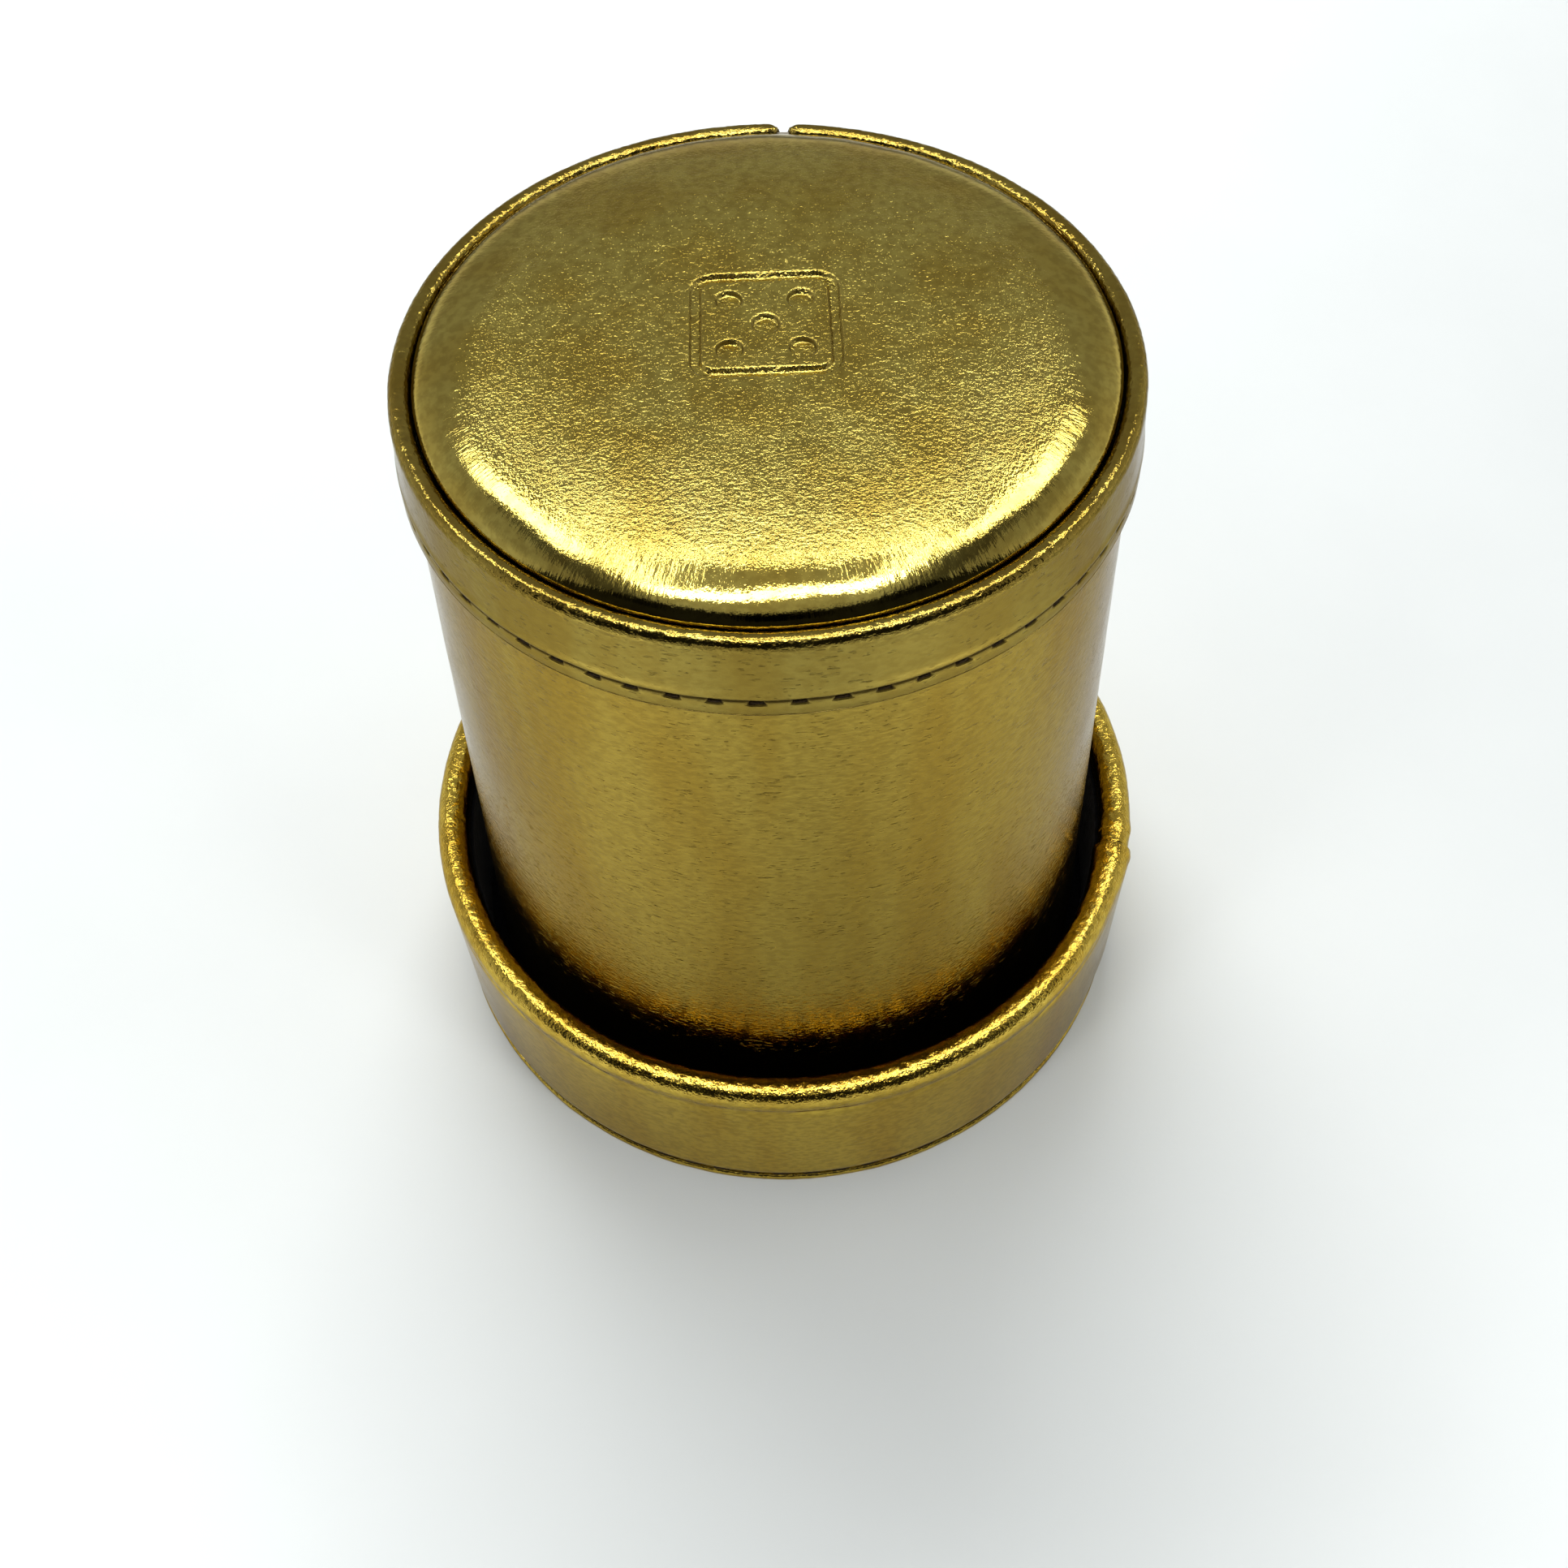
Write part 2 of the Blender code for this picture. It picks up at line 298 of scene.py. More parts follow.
def surface_mesh(name, shape):
    """The mesh of a turned surface.

    It is a solid with a pole at both ends of its path, an open strip with two end faces, or a ring.
    """
    points = shape.points()
    rows, columns = points.shape[:2]
    vertices = points.reshape(-1, 3)
    kept = slice(0, len(vertices))
    if shape.poles:
        kept = slice(columns - 1, len(vertices) - columns + 1)
        vertices = vertices[kept]
        faces = capped_faces(rows, columns, len(vertices))
    elif shape.open:
        faces = grid_faces(rows, columns, True, False).tolist()
        start = [row * columns for row in range(rows)]
        end = [row * columns + columns - 1 for row in range(rows)]
        faces += [start[::-1], end]
    else:
        faces = grid_faces(rows, columns, True, True).tolist()
    mesh = bpy.data.meshes.new(name)
    mesh.from_pydata((vertices * MM).tolist(), [], faces)
    mesh.shade_smooth()
    layers = {"wear": shape.wear, "shade_and_grime": shape.shade_and_grime, "grain": shape.grain}
    for layer, values in layers.items():
        attribute = mesh.attributes.new(layer, "FLOAT", "POINT")
        attribute.data.foreach_set("value", values.ravel()[kept].astype(np.float32))
    return mesh


def add_piece(name, mesh, material, body, nodes):
    """Links a piece, gives it its material and says which CAD nodes it stands for."""
    piece = bpy.data.objects.new(name, mesh)
    bpy.context.scene.collection.objects.link(piece)
    mesh.materials.append(material)
    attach(piece, body)
    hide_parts(*nodes)
    return piece


# Node trees


class Graph:
    """Adds nodes to one node tree. Inputs take a number, a colour or another node's output."""

    def __init__(self, tree):
        self.tree = tree
        tree.nodes.clear()

    def add(self, kind, inputs=None, **settings):
        node = self.tree.nodes.new(kind)
        for name, value in settings.items():
            setattr(node, name, value)
        for name, value in (inputs or {}).items():
            self.put(node.inputs[name], value)
        return node

    def put(self, socket, value):
        if isinstance(value, bpy.types.NodeSocket):
            self.tree.links.new(value, socket)
        else:
            socket.default_value = value

    def math(self, operation, *values):
        node = self.add("ShaderNodeMath", operation=operation)
        for socket, value in zip(node.inputs, values):
            self.put(socket, value)
        return node.outputs[0]

    def vector(self, operation, *values):
        node = self.add("ShaderNodeVectorMath", operation=operation)
        for socket, value in zip(node.inputs, values):
            self.put(socket, value)
        return node.outputs["Value" if operation in ("DOT_PRODUCT", "LENGTH") else "Vector"]

    def ramp(self, value, low, high, start=0.0, end=1.0):
        """An S curve from start to end as the value goes from low to high."""
        inputs = {
            "Value": value,
            "From Min": low,
            "From Max": high,
            "To Min": start,
            "To Max": end,
        }
        node = self.add("ShaderNodeMapRange", inputs, interpolation_type="SMOOTHSTEP")
        return node.outputs["Result"]

    def blend(self, share, first, second):
        """The first colour where the share is 0 and the second where it is 1."""
        node = self.add("ShaderNodeMix", data_type="RGBA")
        self.put(node.inputs[0], share)
        self.put(node.inputs[6], first)
        self.put(node.inputs[7], second)
        return node.outputs[2]

    def noise(self, place, size, detail=2.0, roughness=0.5):
        """Noise from 0 to 1 with lumps of about the given size in metres."""
        inputs = {"Vector": place, "Scale": 1 / size, "Detail": detail, "Roughness": roughness}
        return self.add("ShaderNodeTexNoise", inputs).outputs[0]

    def cells(self, place, size):
        """Distance to the nearest point of a scatter with the given spacing in metres."""
        inputs = {"Vector": place, "Scale": 1 / size}
        return self.add("ShaderNodeTexVoronoi", inputs).outputs["Distance"]

    def layer(self, name):
        """The value of one of the mesh's own layers."""
        return self.add("ShaderNodeAttribute", attribute_name=name).outputs["Fac"]

    def place(self, stretch=(1.0, 1.0, 1.0)):
        """The point of the object, in metres, with each axis stretched."""
        point = self.add("ShaderNodeTexCoord").outputs["Object"]
        return self.vector("MULTIPLY", point, stretch)


def new_material(name):
    material = bpy.data.materials.new(name)
    material.use_nodes = True
    return material, Graph(material.node_tree)


def finish_material(graph, height, **inputs):
    """Adds the shader. The height is in metres and makes the bump."""
    normal = graph.add("ShaderNodeBump", {"Height": height, "Strength": 1.0, "Distance": 1.0})
    named = {name.replace("_", " "): value for name, value in inputs.items()}
    shader = graph.add("ShaderNodeBsdfPrincipled", {**named, "Normal": normal.outputs[0]})
    output = graph.add("ShaderNodeOutputMaterial")
    graph.put(output.inputs["Surface"], shader.outputs[0])


def toned(colour, tone):
    """A colour with a share of each of its parts kept, and full alpha."""
    return tuple(part * share for part, share in zip(colour, tone)) + (1.0,)


def leather_creases(graph):
    """Where the hairline creases are, from 0 to 1. They lie round the piece, in patches."""
    hairs = graph.ramp(graph.noise(graph.place((0.22, 0.22, 1.0)), 0.00026, 1.0), 0.60, 0.74)
    patches = graph.ramp(graph.noise(graph.place(), 0.0030, 3.0), 0.35, 0.60)
    return graph.math("MULTIPLY", hairs, patches)


def pad_puckers(graph, depth):
    """Height of the radial puckers round the pad, and the distance from the axis."""
    flat = graph.place((1.0, 1.0, 0.0))
    outward = graph.vector("NORMALIZE", flat)
    radius = graph.vector("LENGTH", flat)
    ring = graph.vector("MULTIPLY", outward, (0.033, 0.033, 0.033))
    drop = graph.add("ShaderNodeCombineXYZ", {"Z": graph.math("MULTIPLY", radius, 0.22)})
    polar = graph.vector("ADD", ring, drop.outputs[0])
    pucker = graph.math("MULTIPLY", graph.noise(polar, 0.0005, 3.0, 0.6), depth)
    share = graph.ramp(radius, *PUCKERS)
    return graph.math("MULTIPLY", pucker, share), radius


def leather_colour(graph, tone, crease_shade):
    """The gold's colour, and the shares of rubbed surface and of painted shade with some grime.

    The crease share says how far painted shade darkens each crease.
    """
    drift = graph.ramp(graph.noise(graph.place((1.0, 1.0, 0.2)), 0.009, 3.0), 0.38, 0.66)
    colour = graph.blend(drift, toned(GOLD, tone), toned(GOLD_SHADE, tone))
    mottle = graph.ramp(graph.noise(graph.place((0.6, 0.6, 1.0)), 0.0006, 2.0), 0.36, 0.66)
    colour = graph.blend(graph.math("MULTIPLY", mottle, 0.36), colour, MOTTLE)
    # Painted shade in the hairline creases
    colour = graph.blend(crease_shade, colour, CREASE_SHADE)
    speck = graph.ramp(graph.cells(graph.place(), 0.0085), 0.010, 0.018, 1.0, 0.0)
    colour = graph.blend(graph.math("MULTIPLY", speck, 0.8), colour, SPECK)
    uneven = graph.ramp(graph.noise(graph.place(), 0.0009, 3.0), 0.38, 0.6)
    rub = graph.math("MULTIPLY", graph.layer("wear"), uneven)
    colour = graph.blend(rub, colour, RUBBED)
    # Painted shade in pits, seams, joints and along emblem edges, with some grime on raw edges
    shade_and_grime = graph.layer("shade_and_grime")
    colour = graph.blend(shade_and_grime, colour, SHADE_AND_GRIME_COLOUR)
    return colour, rub, shade_and_grime


def leatherette(name, grain, stretch, roughness, creases, tone, puckers=0.0):
    """Gold film over a soft grained backing.

    grain, creases and puckers are the depths in metres of the pebble grain, of the short hairline
    creases and of the radial puckers near the pad's edge. stretch is the grain's scale along X,
    Y and Z, and tone the share kept of the gold's red, green and blue.
    """
    material, graph = new_material(name)
    pebbles = graph.noise(graph.place(stretch), 0.00036, 2.0, 0.6)
    height = graph.math("MULTIPLY", pebbles, grain)
    height = graph.math("MULTIPLY", height, graph.layer("grain"))
    crease = leather_creases(graph)
    height = graph.math("SUBTRACT", height, graph.math("MULTIPLY", crease, creases))
    # How much painted shade darkens the creases
    crease_shade = graph.math("MULTIPLY", crease, 0.22 if creases else 0.0)
    colour, rub, shade_and_grime = leather_colour(graph, tone, crease_shade)

    patches = graph.noise(graph.place(), 0.005, 4.0)
    rough = graph.ramp(patches, 0.3, 0.7, roughness - 0.03, roughness + 0.04)
    if puckers:
        pucker, radius = pad_puckers(graph, puckers)
        height = graph.math("ADD", height, pucker)
        rough = graph.math("MULTIPLY", rough, graph.ramp(radius, *PUCKERS, 1.0, 0.56))
    rough = graph.math("ADD", rough, graph.math("MULTIPLY", rub, 0.2))
    # Painted shade also dulls the gold, making it rougher and no longer metallic
    rough = graph.math("ADD", rough, graph.math("MULTIPLY", shade_and_grime, 0.5))
    finish_material(
        graph,
        height,
        Base_Color=colour,
        Metallic=graph.math("SUBTRACT", 1.0, shade_and_grime),
        Specular_IOR_Level=0.1,
        Roughness=rough,
        Specular_Tint=EDGE_ON_TINT,
    )
    return material


def felt():
    """Black felt: crossed fibres in tufts, with a little lint."""
    material, graph = new_material("black_felt")
    fibres = graph.noise(graph.place((1.0, 0.35, 1.0)), 0.00022, 4.0, 0.7)
    crossed = graph.noise(graph.place((0.35, 1.0, 0.6)), 0.00024, 4.0, 0.7)
    tuft = graph.noise(graph.place(), 0.0011, 3.0)
    mixed = graph.math("ADD", fibres, crossed)
    height = graph.math("MULTIPLY", graph.math("ADD", mixed, tuft), 0.00010)
    share = graph.ramp(mixed, 0.8, 1.3)
    colour = graph.blend(share, (0.0016, 0.0017, 0.0022, 1), (0.006, 0.006, 0.008, 1))
    lint = graph.ramp(graph.cells(graph.place(), 0.004), 0.02, 0.035, 1.0, 0.0)
    colour = graph.blend(graph.math("MULTIPLY", lint, 0.25), colour, (0.05, 0.05, 0.055, 1))
    finish_material(
        graph,
        height,
        Base_Color=colour,
        Roughness=graph.ramp(tuft, 0.3, 0.7, 0.92, 1.0),
        Specular_IOR_Level=0.05,
        Sheen_Weight=0.04,
    )
    return material


def fibreboard():
    """Grey-brown board, layered along Z."""
    material, graph = new_material("grey_board")
    layers = graph.noise(graph.place((0.4, 0.4, 2.5)), 0.0006, 4.0, 0.65)
    fibres = graph.noise(graph.place(), 0.0003, 4.0, 0.7)
    mixed = graph.math("MULTIPLY", graph.math("ADD", layers, fibres), 0.5)
    share = graph.ramp(mixed, 0.35, 0.65)
    colour = graph.blend(share, (0.20, 0.17, 0.12, 1), (0.46, 0.42, 0.33, 1))
    height = graph.math("MULTIPLY", mixed, 0.00012)
    rough = graph.ramp(fibres, 0.3, 0.7, 0.8, 0.95)
    finish_material(graph, height, Base_Color=colour, Roughness=rough)
    return material


def foam():
    """Pale foam with open pores."""
    material, graph = new_material("white_foam")
    pores = graph.cells(graph.place(), 0.0007)
    dust = graph.ramp(graph.noise(graph.place(), 0.004, 3.0), 0.3, 0.7)
    colour = graph.blend(dust, (0.80, 0.78, 0.70, 1), (0.72, 0.69, 0.58, 1))
    height = graph.math("MULTIPLY", pores, 0.0003)
    rough = graph.ramp(pores, 0.0, 0.6, 0.95, 0.85)
    finish_material(graph, height, Base_Color=colour, Roughness=rough)
    return material


def thread():
    """Dark brown twisted thread."""
    material, graph = new_material("dark_thread")
    twist = graph.noise(graph.place((1.0, 1.0, 2.2)), 0.00016, 3.0, 0.6)
    share = graph.ramp(twist, 0.35, 0.65)
    colour = graph.blend(share, (0.010, 0.007, 0.004, 1), (0.045, 0.028, 0.011, 1))
    height = graph.math("MULTIPLY", twist, 0.00006)
    rough = graph.ramp(twist, 0.3, 0.7, 0.6, 0.8)
    finish_material(graph, height, Base_Color=colour, Roughness=rough, Specular_IOR_Level=0.12)
    return material


# The pad


def emblem(x, y):
    """How deep the emblem is pressed, from 0 to 1: the outline of a die's face with five pips."""
    half, corner, stroke, pip, spread = 6.6, 1.8, 0.5, 1.25, 3.4
    out_x = np.abs(x) - (half - corner)
    out_y = np.abs(y) - (half - corner)
    outside = np.hypot(np.maximum(out_x, 0.0), np.maximum(out_y, 0.0))
    inside = np.minimum(np.maximum(out_x, out_y), 0.0)
    distance = np.abs(outside + inside - corner) - stroke
    for along in (-spread, 0.0, spread):
        for up in (-spread, 0.0, spread):
            if (along == 0.0) == (up == 0.0):
                distance = np.minimum(distance, np.hypot(x - along, y - up) - pip)
    return smooth(0.12, -0.12, distance)


def pad_path():
    """The pad from the middle of its crown, over its side and in under its board."""
    low, high = box_mm("pad_cover")
    edge = high[0] + 0.5  # where the crown would end if the side didn't cut it off
    rise = high[2] - PAD_EDGE_HEIGHT
    radius = np.concatenate([np.arange(0.0, 10.0, 0.16), np.arange(10.0, 31.0, 0.27)])
    height = PAD_EDGE_HEIGHT + rise * np.sqrt(1.0 - (radius / edge) ** 4)
    turn = np.radians(np.linspace(55.5, 77.9, 13))
    shoulder = np.stack([edge * np.sqrt(np.sin(turn)), PAD_EDGE_HEIGHT + rise * np.cos(turn)], 1)
    widest = high[0] + PAD_STANDS_OUT
    waist = high[0] - 0.35
    fold = 0.7
    side = chain([(widest - 0.03, 96.2), (widest, 95.9)], line((widest, 95.4), (widest, 93.8), 4))
    lower = line((high[0], 93.2), (waist, 91.4), 4)
    under = arc((waist - fold, low[2] + fold), fold, 0, -90, 5)
    flap = line((waist - fold, low[2]), (26.0, low[2]), 4)
    path = chain(np.stack([radius, height], 1), shoulder, side, lower, under, flap)
    hidden = [(26.0, low[2] + LEATHER), (32.7, low[2] + LEATHER), (32.7, 92.4), (0.0, 92.4)]
    return path, hidden


def make_pad(material):
    """The padded disc: lumps, grain and puckers on its crown, and the pressed emblem."""
    path, hidden = pad_path()
    shape = Turned(path, even_angles(540), hidden)
    points = shape.points()

    # Broad lumps of the foam, on the crown only
    top = smooth(PAD_EDGE_HEIGHT - 0.5, PAD_EDGE_HEIGHT + 0.6, shape.height)
    calm = 1.0 - smooth(30.0, 33.0, shape.radius)
    push = 0.14 * noise_field(points, 15.0, 1) * calm * top
    push += 0.05 * noise_field(points, 5.0, 2) * top

    # The grain, which fades towards the side
    shape.grain = 1.0 - 0.9 * smooth(26.0, 30.5, shape.radius)
    push += 0.020 * noise_field(points, 0.95, 3) * top * shape.grain
    push += 0.022 * noise_field(points, 0.55, 6, (0.9, 1.0, 1.0)) * top * shape.grain

    # Radial puckers, from noise stretched along the radius
    polar = np.stack([np.cos(shape.angle), np.sin(shape.angle), shape.radius / 150.0], 2) * 33.0
    edge = smooth(25.0, 31.0, shape.radius) * top
    push += 0.010 * noise_field(polar, 1.5, 4) * edge
    push += 0.008 * noise_field(polar, 0.8, 5) * edge

    # The emblem, with a shadow along its edges, in the middle of a shallow dish
    pressed = emblem(points[..., 0], points[..., 1]) * top
    push -= EMBLEM_DEPTH * pressed
    shape.shade_and_grime = 1.6 * pressed * (1.0 - pressed)
    push -= 0.10 * np.exp(-((shape.radius / 9.5) ** 4)) * top
    shape.push(push)
    mesh = surface_mesh("pad", shape)
    piece = add_piece("pad", mesh, material, "cup", ["pad_cover", "pad_foam"])
    return piece


# The rim band and its stitches


def band_lean(height):
    """Radius of the rim band's outer face at a height."""
    top = RIM_ROLL_RADIUS + RIM_ROLL
    return np.interp(height, [BAND_BOTTOM, RIM_ROLL_HEIGHT], [BAND_BOTTOM_RADIUS, top])


def band_path():
    """The band from inside the recess, over its roll and down its outer face to its lower edge."""
    bottom = box_mm("rim_band")[0][2]
    inner = RIM_ROLL_RADIUS - RIM_ROLL
    flap = line((inner, 92.2), (inner, RIM_ROLL_HEIGHT), 8)
    roll = arc((RIM_ROLL_RADIUS, RIM_ROLL_HEIGHT), RIM_ROLL, 180, 0, 24)
    heights = np.concatenate(
        [
            np.arange(RIM_ROLL_HEIGHT, 90.3, -0.33),
            np.arange(90.3, 88.5, -0.08),
            np.arange(88.5, bottom + 0.3, -0.14),
        ]
    )
    face = np.stack([band_lean(heights), heights], 1)
    edge = arc((band_lean(bottom) - 0.25, bottom + 0.25), 0.25, 20, -90, 4)
    path = chain(flap, roll, face, edge)
    hem = 0.75
    hidden = chain(
        [(band_lean(bottom) - hem, bottom)],
        [(band_lean(90.6) - hem, 90.6)],
        [(band_lean(91.0) - LEATHER, 91.0)],
        arc((RIM_ROLL_RADIUS, RIM_ROLL_HEIGHT), RIM_ROLL - LEATHER, 0, 180, 6),
        [(inner + LEATHER, 92.2)],
    )
    return path, hidden


def stitch_azimuths():
    """Azimuths of the rim band's stitches in degrees."""
    return [STITCH_PHASE + 360.0 * i / STITCH_COUNT for i in range(STITCH_COUNT)]


def stitch_pits(shape):
    """Depth, from 0 to 1, of the pits that the stitches pull in just below the seam."""
    below = BAND_SEAM - shape.height
    pitch = 2 * pi / STITCH_COUNT
    turn = (shape.angle - radians(STITCH_PHASE) + 0.5 * pitch) % pitch - 0.5 * pitch
    along = np.abs(turn * shape.radius)
    wobble = 0.12 * noise_field(shape.points(), 1.2, 11)
    half = 0.55 + 0.40 * np.clip(below, 0.0, 0.8) + 1.5 * wobble
    sides = smooth(half + 0.12, half - 0.16, along)
    floor = 0.50 + wobble
    return sides * smooth(-0.10, 0.08, below) * smooth(floor + 0.12, floor - 0.14, below)


def make_band(material):
    """The rim band: an open strip with a gap at the back, a seam groove and pits for the stitches."""
    path, hidden = band_path()
    columns = 960
    shape = Turned(path, np.linspace(0.0, 1.0, columns), hidden)
    rise = smooth(93.6, 96.6, shape.height) + 0.25 * smooth(35.2, 34.0, shape.radius)
    gap = (0.06 + 0.60 * rise) / shape.radius
    start = radians(BAND_GAP_AZIMUTH)
    shape.angle = start + gap + shape.angle * (2 * pi - 2 * gap)
    shape.open = True
    points = shape.points()

    # Lumps all over the outside, and crinkles on the roll
    outside = smooth(35.6, 36.1, shape.radius)
    rolled = smooth(94.6, 95.6, shape.height)
    push = 0.05 * noise_field(points, 7.0, 12) * outside
    push += 0.022 * noise_field(points, 2.6, 13)
    push += 0.024 * (ridges(points, 1.1, 14) - 0.5) * rolled
    push += 0.022 * (ridges(points, 0.6, 15) - 0.5) * rolled

    # The plump strip below the seam, the lip and groove of the seam itself, and the pits
    below = BAND_SEAM - shape.height + 0.05 * noise_field(points, 3.0, 16)
    strip = smooth(0.0, 0.5, below) * outside
    plump = np.sin(pi * np.clip(below / 2.1, 0.0, 1.0))
    push += (0.10 * plump - 0.10 * smooth(0.0, 0.2, below)) * strip
    push += 0.10 * bump_at(below, -0.35, 0.9) * outside
    push -= 0.30 * bump_at(below, 0.02, 0.26) * outside
    pits = stitch_pits(shape) * outside
    push -= 0.46 * pits

    # The ends at the gap turn in. Painted shade lies in the seam and the pits, and painted shade with
    # some grime lies along the lower edge
    end = np.minimum(np.abs(shape.across(BAND_GAP_AZIMUTH)), 6.0)
    push -= 0.35 * np.exp(-((end - gap * shape.radius) / 0.5) ** 2)
    lines = 0.9 * bump_at(below, 0.03, 0.42) + smooth(1.7, 1.9, below)
    shape.shade_and_grime = np.clip(smooth(0.0, 0.2, pits) + lines * outside, 0.0, 0.97)
    shape.grain = 0.35 + 0.65 * rolled
    shape.push(push)
    mesh = surface_mesh("rim_band_cover", shape)
    return add_piece("rim_band_cover", mesh, material, "cup", ["rim_band"])


def stitches_mesh(name, places, length, thickness, tilt, sides=8, rings=10):
    """Short rounded lengths of thread, each lying along the ring at its azimuth.

    places are (azimuth in degrees, radius, height) and the tilt, in degrees, slants every stitch.
    """
    vertices, faces = [], []
    turns = np.linspace(0.0, 2 * pi, sides, endpoint=False)
    for azimuth, radius, height in places:
        a = radians(azimuth)
        outward = np.array([cos(a), sin(a), 0.0])
        ring_way = np.array([-sin(a), cos(a), 0.0])
        t = radians(tilt)
        way = cos(t) * ring_way + sin(t) * np.array([0.0, 0.0, 1.0])
        side = np.cross(way, outward)
        first = len(vertices)
        for i in range(rings + 1):
            share = 2.0 * i / rings - 1.0
            girth = 0.5 * thickness * max(1.0 - share**6, 0.02) ** 0.5
            sink = 0.5 * thickness * share**4
            centre = outward * (radius - sink) + way * (0.5 * length * share)
            centre = centre + np.array([0.0, 0.0, height])
            for turn in turns:
                twist = 1.0 + 0.10 * sin(2 * turn + 9.0 * share)
                offset = girth * twist * (cos(turn) * outward + sin(turn) * side)
                vertices.append(tuple((centre + offset) * MM))
        for i in range(rings):
            for j in range(sides):
                k = (j + 1) % sides
                low, high = first + i * sides, first + (i + 1) * sides
                faces.append((low + j, low + k, high + k, high + j))
        faces.append(tuple(first + j for j in range(sides))[::-1])
        faces.append(tuple(first + rings * sides + j for j in range(sides)))
    mesh = bpy.data.meshes.new(name)
    mesh.from_pydata(vertices, [], faces)
    mesh.shade_smooth()
    return mesh


def make_band_stitches(material):
    """The rim band's stitches, sunk in its pits."""
    height = BAND_SEAM - 0.52
    radius = float(band_lean(height)) - 0.34
    places = [(azimuth, radius, height) for azimuth in stitch_azimuths()]
    mesh = stitches_mesh("rim_band_stitches", places, 1.5, 0.34, 4.0)
    return add_piece("rim_band_stitches", mesh, material, "cup", ["rim_band_thread"])


# The cup's sleeve


def make_sleeve(material):
    """The cup's outer cover, turned in round the mouth, with a lapped seam at the back."""
    low, high = box_mm("cup_wall_cover")
    fold = 1.4  # the sleeve turns round the mouth with this radius
    mouth = high[0]
    top_radius = mouth - CUP_TAPER * (high[2] - low[2] - fold)

    def outer(height):
        return np.interp(height, [low[2] + fold, high[2]], [mouth, top_radius])

    heights = np.linspace(high[2], low[2] + fold, 92)
    face = np.stack([outer(heights), heights], 1)
    turn = arc((mouth - fold, low[2] + fold), fold, 0, -180, 12)
    inside = line((mouth - 2 * fold, low[2] + fold), (outer(13.0) - 2 * fold, 13.0), 8)
    path = chain(face, turn, inside)
    back = fold - LEATHER
    hidden = chain(
        [(outer(13.0) - 2 * fold + LEATHER, 13.0)],
        arc((mouth - fold, low[2] + fold), back, -180, 0, 8),
        [(top_radius - LEATHER, high[2])],
    )
    angles = angles_with_detail(520, SLEEVE_OVERLAP_AZIMUTH, 4.0, 0.12)
    shape = Turned(path, angles, hidden)
    points = shape.points()
    push = 0.05 * noise_field(points, 22.0, 21) + 0.025 * noise_field(points, 6.0, 22)
    push += 0.008 * noise_field(points, 2.0, 23, (0.5, 0.5, 1.0))
    push += overlap_step(shape, SLEEVE_OVERLAP_AZIMUTH, 0.32)
    inner_face = smooth(mouth - 1.6, mouth - 2.2, shape.radius) * smooth(14.0, 12.0, shape.height)
    push *= 1.0 - inner_face
    shape.wear = 0.6 * smooth(low[2] + 0.5, low[2] + 0.1, shape.height)
    shape.push(push)
    mesh = surface_mesh("cup_sleeve", shape)
    return add_piece("cup_sleeve", mesh, material, "cup", ["cup_wall_cover"])


def overlap_step(shape, azimuth, depth):
    """A lapped seam: one end of the sheet lies over the other and stands proud along its edge."""
    along = shape.across(azimuth)
    wander = 0.25 * noise_field(shape.points(), 6.0, 31)
    along = along + wander
    proud = smooth(0.06, -0.10, along) * smooth(-9.0, -1.5, along)
    groove = bump_at(along, 0.16, 0.35)
    return depth * (proud - 0.35 * groove)


# The tray


